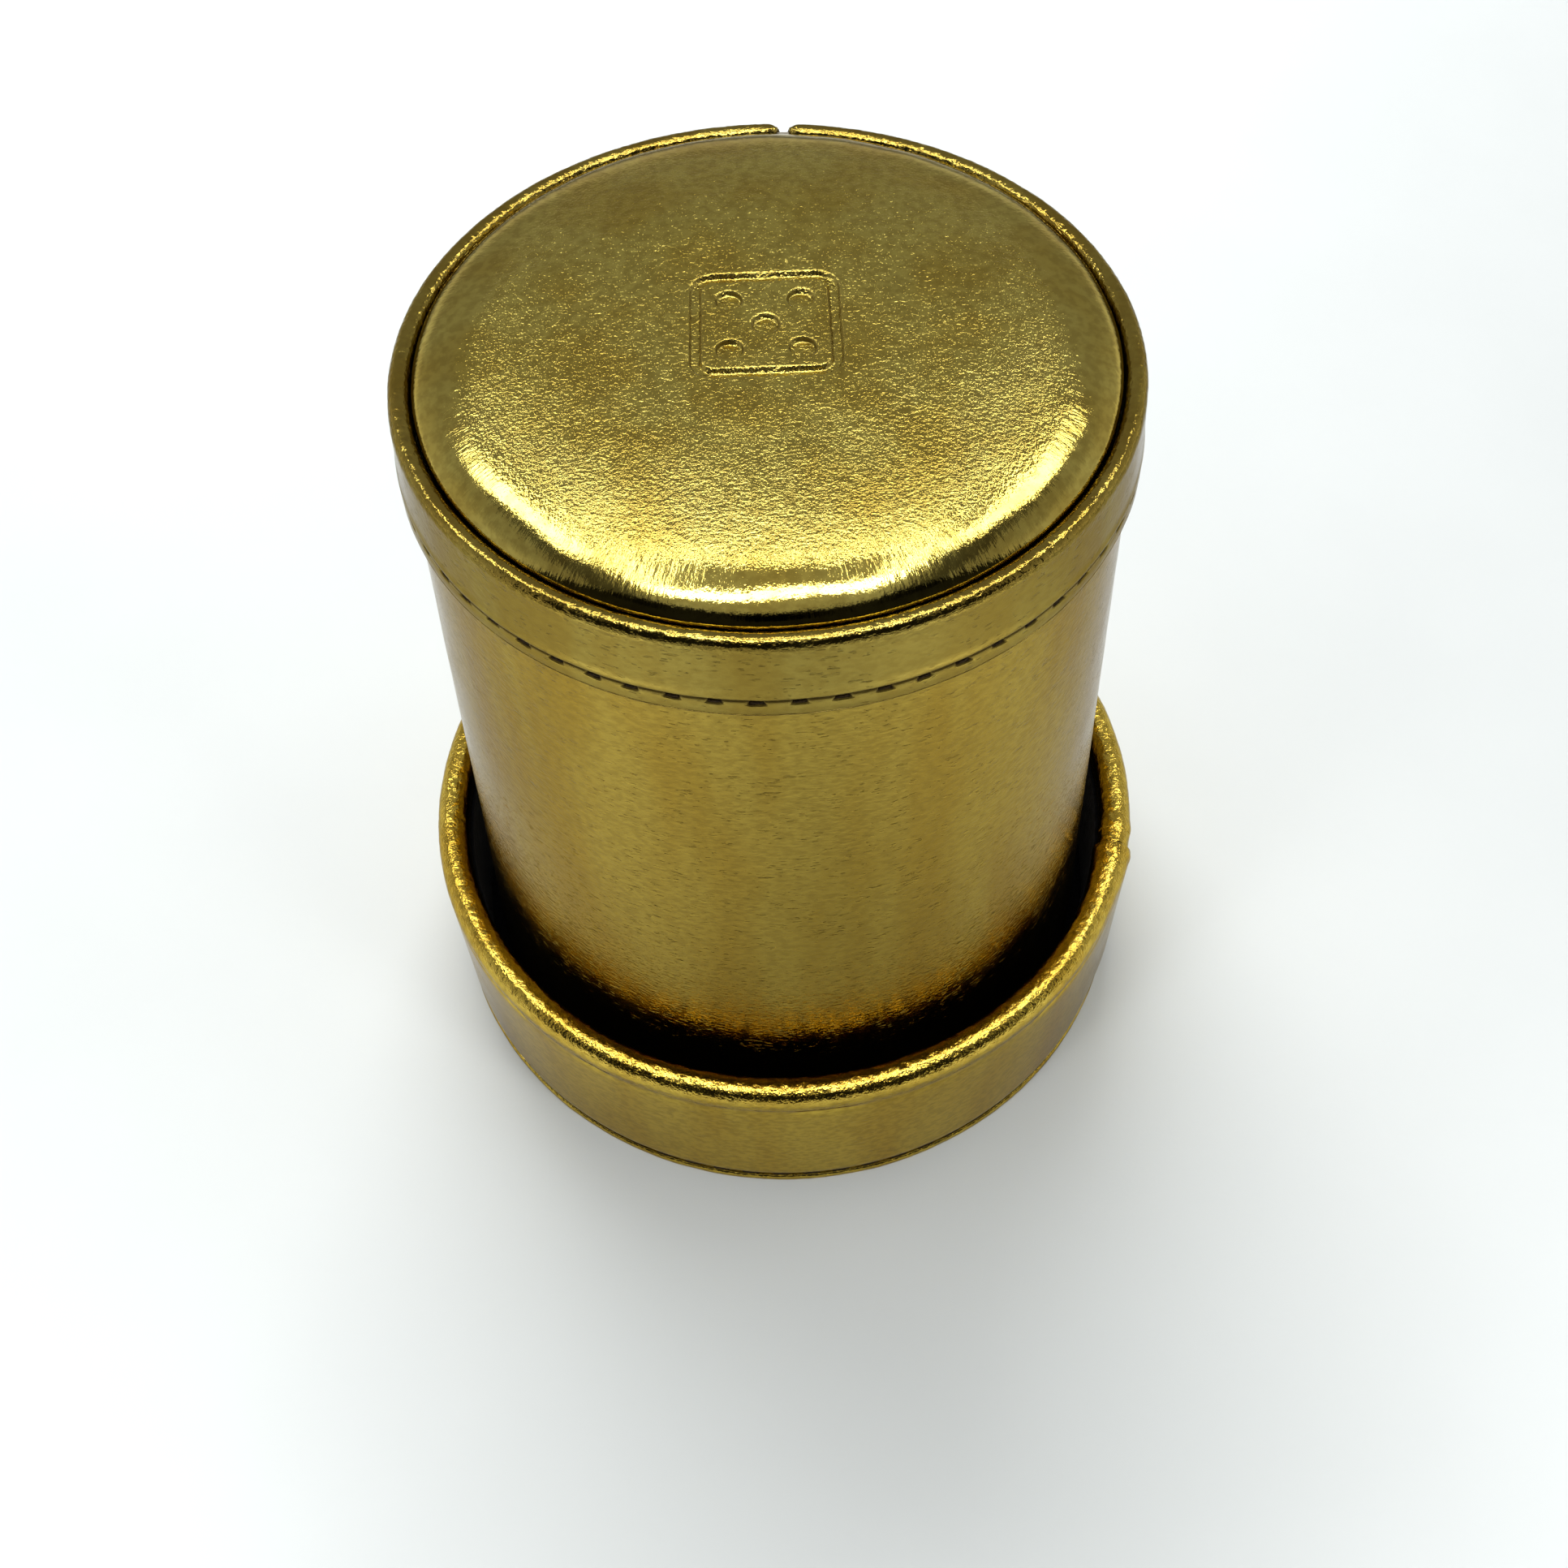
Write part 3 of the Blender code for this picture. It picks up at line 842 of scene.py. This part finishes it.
def make_tray_wall(material):
    """The tray's cover: a crinkled roll over the foam, then a smooth wall with a lapped seam."""
    bottom = box_mm("tray_wall_cover")[0][2]
    centre = (TRAY_RADIUS - TRAY_ROLL, TRAY_TOP - TRAY_ROLL)
    inner = TRAY_RADIUS - 2 * TRAY_ROLL
    flap = line((inner, 20.0), (inner, centre[1]), 6)
    roll = arc(centre, TRAY_ROLL, 180, 0, 40)
    heights = np.concatenate(
        [np.arange(centre[1], 20.2, -0.16), np.arange(20.2, bottom + 0.3, -0.85)]
    )
    face = np.stack([np.full_like(heights, TRAY_RADIUS), heights], 1)
    edge = arc((TRAY_RADIUS - 0.25, bottom + 0.25), 0.25, 0, -90, 4)
    path = chain(flap, roll, face, edge)
    hidden = chain(
        [(TRAY_RADIUS - LEATHER, bottom)],
        [(TRAY_RADIUS - LEATHER, 12.0)],
        arc(centre, TRAY_ROLL - LEATHER, 0, 180, 8),
        [(inner + LEATHER, 20.0)],
    )
    angles = angles_with_detail(900, TRAY_OVERLAP_AZIMUTH, 3.0, 0.12)
    shape = Turned(path, angles, hidden)
    points = shape.points()

    # Lumps and crinkles, mostly on the roll and its inner side
    rolled = smooth(20.6, 22.4, shape.height)
    inward = smooth(44.4, 42.6, shape.radius)
    crinkled = rolled * (0.35 + 0.65 * inward)
    push = 0.05 * noise_field(points, 20.0, 41)
    push += 0.07 * noise_field(points, 5.0, 42) * rolled
    push += 0.04 * noise_field(points, 2.0, 43) * crinkled
    push += 0.060 * (ridges(points, 1.1, 44) - 0.5) * crinkled
    push += 0.060 * noise_field(points, 0.6, 45) * crinkled
    shape.grain = 0.15 + 0.85 * rolled

    # The slack crease under the roll, deeper in some places than in others
    push -= 0.05 * smooth(21.6, 21.2, shape.height) * smooth(19.5, 20.9, shape.height)
    slack = smooth(-0.1, 0.35, noise_field(points, 9.0, 46, (1.0, 1.0, 0.1)))
    push -= 0.16 * slack * bump_at(shape.height, 20.8, 0.7) * smooth(44.0, 44.9, shape.radius)

    # The lapped seam, with two lumps where it crosses the roll
    push += overlap_step(shape, TRAY_OVERLAP_AZIMUTH, 0.38)
    first, second = TRAY_LUMP_AZIMUTHS
    lumps = bump_at(shape.across(first), 0.0, 1.8) + bump_at(shape.across(second), 0.0, 1.6)
    push += 0.16 * lumps * rolled
    # Painted shade along the bottom edge, where the wall meets the base
    shape.shade_and_grime = 0.8 * smooth(bottom + 0.3, bottom, shape.height)
    shape.push(push)
    mesh = surface_mesh("tray_cover", shape)
    return add_piece("tray_cover", mesh, material, "tray", ["tray_wall_cover"])


def make_tray_base(material):
    """The disc under the tray, with its edge turned up into a hem."""
    low, high = box_mm("tray_base_cover")
    edge = high[0]
    hem_top = high[2]
    lip = 0.7  # thickness of the turned-up hem
    path = chain(
        line((0.0, 0.6), (edge - lip - 0.2, 0.6), 8),
        [(edge - lip, 0.8)],
        line((edge - lip, 0.8), (edge - lip, hem_top - 0.1), 2),
        arc((edge - 0.35, hem_top - 0.35), 0.35, 90, 0, 5),
        arc((edge - 0.35, 0.35), 0.35, 0, -90, 5),
        line((edge - 0.35, low[2]), (0.0, low[2]), 90),
    )
    shape = Turned(path, even_angles(480))
    points = shape.points()
    rim = smooth(edge - 1.0, edge - 0.4, shape.radius)
    push = 0.05 * noise_field(points, 4.0, 51) * rim + 0.03 * noise_field(points, 1.2, 52) * rim
    push += 0.02 * noise_field(points, 8.0, 53) * smooth(edge - 1.0, edge - 3.0, shape.radius)
    shape.wear = 0.5 * rim * smooth(0.3, 0.0, shape.height)
    shape.push(push)
    shape.height = np.maximum(shape.height, low[2])
    mesh = surface_mesh("tray_base", shape)
    return add_piece("tray_base", mesh, material, "tray", ["tray_base_cover"])


def make_tray_stitches(material):
    """Stitches along the joint near the table."""
    step = 360.0 / TRAY_STITCH_COUNT
    places = [(i * step, TRAY_RADIUS - 0.42, 1.7) for i in range(TRAY_STITCH_COUNT)]
    mesh = stitches_mesh("tray_stitches", places, 2.9, 0.56, 6.0)
    return add_piece("tray_stitches", mesh, material, "tray", ["tray_thread"])


def make_tray_padding(material):
    """The half-round strip of foam under the tray's roll."""
    low, high = box_mm("tray_rim_padding")
    centre = (TRAY_RADIUS - TRAY_ROLL, TRAY_TOP - TRAY_ROLL)
    radius = high[0] - centre[0]
    path = chain(
        arc(centre, radius, 180, 0, 18),
        [(high[0], low[2])],
        line((high[0], low[2]), (centre[0] - radius, low[2]), 8),
    )
    shape = Turned(path, even_angles(360))
    shape.push(0.04 * noise_field(shape.points(), 1.0, 61) - 0.04)
    mesh = surface_mesh("tray_rim_foam", shape)
    piece = add_piece("tray_rim_foam", mesh, material, "tray", ["tray_rim_padding"])
    return piece


# The felt linings


def fuzz(shape, seed):
    """Tufts in the felt. It is pulled back a little, so the tufts stay about where the CAD face is."""
    points = shape.points()
    tufts = 0.06 * noise_field(points, 1.6, seed) + 0.05 * noise_field(points, 0.6, seed + 1)
    shape.push(tufts - 0.06)


def make_felt_disc(name, node, body, material, face_up):
    """A round felt lining, with its fine rows on the side that shows."""
    low, high = box_mm(node)
    radius, bottom, top = high[0], low[2], high[2]
    steps = 70
    up_steps, down_steps = (steps, 6) if face_up else (6, steps)
    path = chain(
        line((0.0, top), (radius - 0.2, top), up_steps),
        arc((radius - 0.2, top - 0.2), 0.2, 90, 0, 2),
        arc((radius - 0.2, bottom + 0.2), 0.2, 0, -90, 2),
        line((radius - 0.2, bottom), (0.0, bottom), down_steps),
    )
    shape = Turned(path, even_angles(480))
    fuzz(shape, 71 if face_up else 73)
    return add_piece(name, surface_mesh(name, shape), material, body, [node])


def make_felt_ring(name, node, body, material, outer_low, outer_high, seed):
    """A felt lining inside a wall, with its fine rows on the side that faces the axis."""
    low, high = box_mm(node)
    bottom, top = low[2], high[2]
    path = chain(
        line((outer_low - FELT, bottom), (outer_high - FELT, top), 96),
        line((outer_high - FELT, top), (outer_high, top), 3),
        line((outer_high, top), (outer_low, bottom), 8),
        line((outer_low, bottom), (outer_low - FELT, bottom), 3),
    )
    shape = Turned(path[:-1], even_angles(600))
    fuzz(shape, seed)
    return add_piece(name, surface_mesh(name, shape), material, body, [node])


def make_linings(material):
    """The four felt linings."""
    make_felt_disc("tray_floor_felt", "tray_floor_lining", "tray", material, True)
    make_felt_disc("cup_end_felt", "cup_floor_lining", "cup", material, False)
    tray_inner = box_mm("tray_wall_lining")[1][0]
    tray_radii = (tray_inner, tray_inner)
    make_felt_ring("tray_wall_felt", "tray_wall_lining", "tray", material, *tray_radii, 75)
    cup_inner = box_mm("cup_wall_lining")[1][0]
    cup_radii = (cup_inner, cup_inner - CUP_TAPER * (LINING_TOP - LINING_FOOT))
    make_felt_ring("cup_wall_felt", "cup_wall_lining", "cup", material, *cup_radii, 77)


# Surroundings


def box_mm(node):
    """Lowest and highest corner of a CAD node in mm."""
    low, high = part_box(node)
    return np.array(low) / MM, np.array(high) / MM


def make_floor():
    """A plain pale floor, 3 m square."""
    half = 1.5
    mesh = bpy.data.meshes.new("floor")
    corners = [(-half, -half, 0), (half, -half, 0), (half, half, 0), (-half, half, 0)]
    mesh.from_pydata(corners, [], [(0, 1, 2, 3)])
    floor = bpy.data.objects.new("floor", mesh)
    bpy.context.scene.collection.objects.link(floor)
    material, graph = new_material("pale_floor")
    cloudy = graph.ramp(graph.noise(graph.place(), 0.05, 3.0), 0.3, 0.7)
    colour = graph.blend(cloudy, (0.83, 0.87, 0.865, 1), (0.85, 0.89, 0.885, 1))
    height = graph.math("MULTIPLY", graph.noise(graph.place(), 0.0008, 3.0), 0.00001)
    finish_material(graph, height, Base_Color=colour, Roughness=0.7, Specular_IOR_Level=0.2)
    mesh.materials.append(material)


def area_light(name, place, size, radiance, mirrored, aim=PAD_PLACE, along=(1.0, 0.0, 0.0)):
    """A rectangular soft light of the given radiance, facing the aim point. Lengths in metres.

    Its first side lies along the given direction. A mirrored light shows in the gold and leaves
    the floor alone, and any other does the reverse.
    """
    light = bpy.data.lights.new(name, "AREA")
    light.shape = "RECTANGLE"
    light.size, light.size_y = size
    light.energy = radiance * pi * size[0] * size[1]
    lamp = bpy.data.objects.new(name, light)
    bpy.context.scene.collection.objects.link(lamp)
    back = (Vector(place) - Vector(aim)).normalized()
    side = Vector(along)
    side = (side - side.dot(back) * back).normalized()
    axes = Matrix((side, back.cross(side), back)).transposed().to_4x4()
    lamp.matrix_world = Matrix.Translation(Vector(place)) @ axes
    lamp.visible_glossy = mirrored
    lamp.visible_diffuse = not mirrored
    return lamp


def overhead(tilt, distance=0.5, across=0.0):
    """A place at a distance from the pad, tilted by degrees from straight up towards +Y."""
    t = radians(tilt)
    return (across, distance * sin(t), 0.1 + distance * cos(t))


def make_lights():
    """Lamps that show in the gold, and soft lights that only the floor and the felt catch.

    The two wide lamps make the pad's white bars. Those beside them and the slanted strips make
    the long highlights on its left and right shoulders.
    """
    area_light("lamp_back", overhead(15.5), (0.34, 0.042), 11.0, True)
    area_light("lamp_front", overhead(-7.5), (0.34, 0.075), 16.0, True)
    area_light("lamp_left", overhead(4.0, across=-0.165), (0.045, 0.14), 9.0, True)
    area_light("lamp_right", overhead(4.0, across=0.165), (0.045, 0.14), 9.0, True)
    for side in (-1.0, 1.0):
        place = (side * 0.300, 0.160, 0.55)
        slant = (side * 0.557, 0.830, 0.0)
        area_light("lamp_strip", place, (0.26, 0.08), 9.0, True, along=slant)
    area_light("soft_back", (-0.06, 0.34, 0.40), (0.40, 0.40), 4.9, False)
    area_light("soft_left", (-0.46, 0.10, 0.30), (0.30, 0.30), 0.5, False)
    area_light("soft_right", (0.46, 0.24, 0.30), (0.30, 0.30), 0.6, False)
    for side in (-1.0, 1.0):
        aim = (side * 0.10, -0.12, 0.0)
        area_light("soft_front", (side * 0.20, -0.22, 0.10), (0.08, 0.08), 16.0, False, aim)


def cone(graph, cosine, outer, inner, start, end):
    """A ramp on the cosine of an angle: start outside the outer angle, end within the inner one."""
    return graph.ramp(cosine, cos(radians(outer)), cos(radians(inner)), start, end)


def make_world():
    """A pale ceiling with two dimmer wings, walls, a bright horizon and a dark front.

    The front is where the photographer stands, with a still darker patch for the head and hands.
    """
    world = bpy.data.worlds.new("studio")
    bpy.context.scene.world = world
    world.use_nodes = True
    graph = Graph(world.node_tree)
    way = graph.vector("NORMALIZE", graph.add("ShaderNodeTexCoord").outputs["Generated"])
    parts = graph.add("ShaderNodeSeparateXYZ", {"Vector": way}).outputs
    up, forward = parts["Z"], parts["Y"]
    aside = graph.math("ABSOLUTE", parts["X"])

    wing = graph.math("MULTIPLY", graph.ramp(aside, 0.36, 0.45), graph.ramp(aside, 0.66, 0.58))
    wing = graph.math("MULTIPLY", wing, graph.ramp(up, 0.66, 0.76))
    dimmed = graph.ramp(wing, 0.0, 1.0, 1.0, 0.25)
    ceiling = graph.math("MULTIPLY", cone(graph, up, 34, 20, 0.41, 0.60), dimmed)

    walls = graph.ramp(aside, 0.5, 0.9, 0.0, 0.26)
    walls = graph.math("MULTIPLY", walls, graph.ramp(up, 0.7, 0.4))
    horizon = graph.ramp(up, 0.16, 0.03, 0.0, 0.5)
    light = graph.math("ADD", graph.math("ADD", ceiling, walls), horizon)

    front = graph.math("MULTIPLY", graph.ramp(forward, -0.24, -0.36), graph.ramp(up, 0.10, 0.22))
    front = graph.math("MULTIPLY", front, graph.ramp(up, 0.90, 0.84))
    light = graph.math("MULTIPLY", light, graph.ramp(front, 0.0, 1.0, 1.0, 0.04))
    tilt = radians(38.0)
    near_head = graph.vector("DOT_PRODUCT", way, (0.0, -sin(tilt), cos(tilt)))
    light = graph.math("MULTIPLY", light, cone(graph, near_head, 13, 8, 1.0, 0.01))

    inputs = {"Color": (1.0, 1.0, 1.0, 1.0), "Strength": light}
    background = graph.add("ShaderNodeBackground", inputs)
    output = graph.add("ShaderNodeOutputWorld")
    graph.put(output.inputs["Surface"], background.outputs[0])


def make_camera():
    """The camera at the photo's angle."""
    data = bpy.data.cameras.new("camera")
    data.lens = CAMERA_LENS
    data.sensor_width = SENSOR_WIDTH
    data.clip_start = 0.005
    data.clip_end = 20.0
    camera = bpy.data.objects.new("camera", data)
    bpy.context.scene.collection.objects.link(camera)
    axes = Matrix((CAMERA_RIGHT, CAMERA_UP, CAMERA_BACK)).transposed().to_4x4()
    camera.matrix_world = Matrix.Translation(Vector(CAMERA_PLACE) * MM) @ axes
    bpy.context.scene.camera = camera


def dress_nodes(frame, names, material):
    """Gives CAD nodes that stay as they are a material of their own."""
    for name in names:
        mesh = frame["nodes"][name].data
        mesh.materials.clear()
        mesh.materials.append(material)


def main():
    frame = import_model()
    make_camera()
    make_floor()
    make_lights()
    make_world()
    bpy.context.scene.view_settings.view_transform = "Standard"

    golds = {name: leatherette(name, **look) for name, look in GOLDS.items()}
    felt_black = felt()
    thread_dark = thread()
    foam_white = foam()
    board_grey = fibreboard()

    make_pad(golds["gold_pad"])
    make_band(golds["gold_band"])
    make_band_stitches(thread_dark)
    make_sleeve(golds["gold_wall"])
    make_tray_wall(golds["gold_tray"])
    make_tray_base(golds["gold_tray"])
    make_tray_stitches(thread_dark)
    make_tray_padding(foam_white)
    make_linings(felt_black)
    dress_nodes(frame, BOARDS, board_grey)


main()
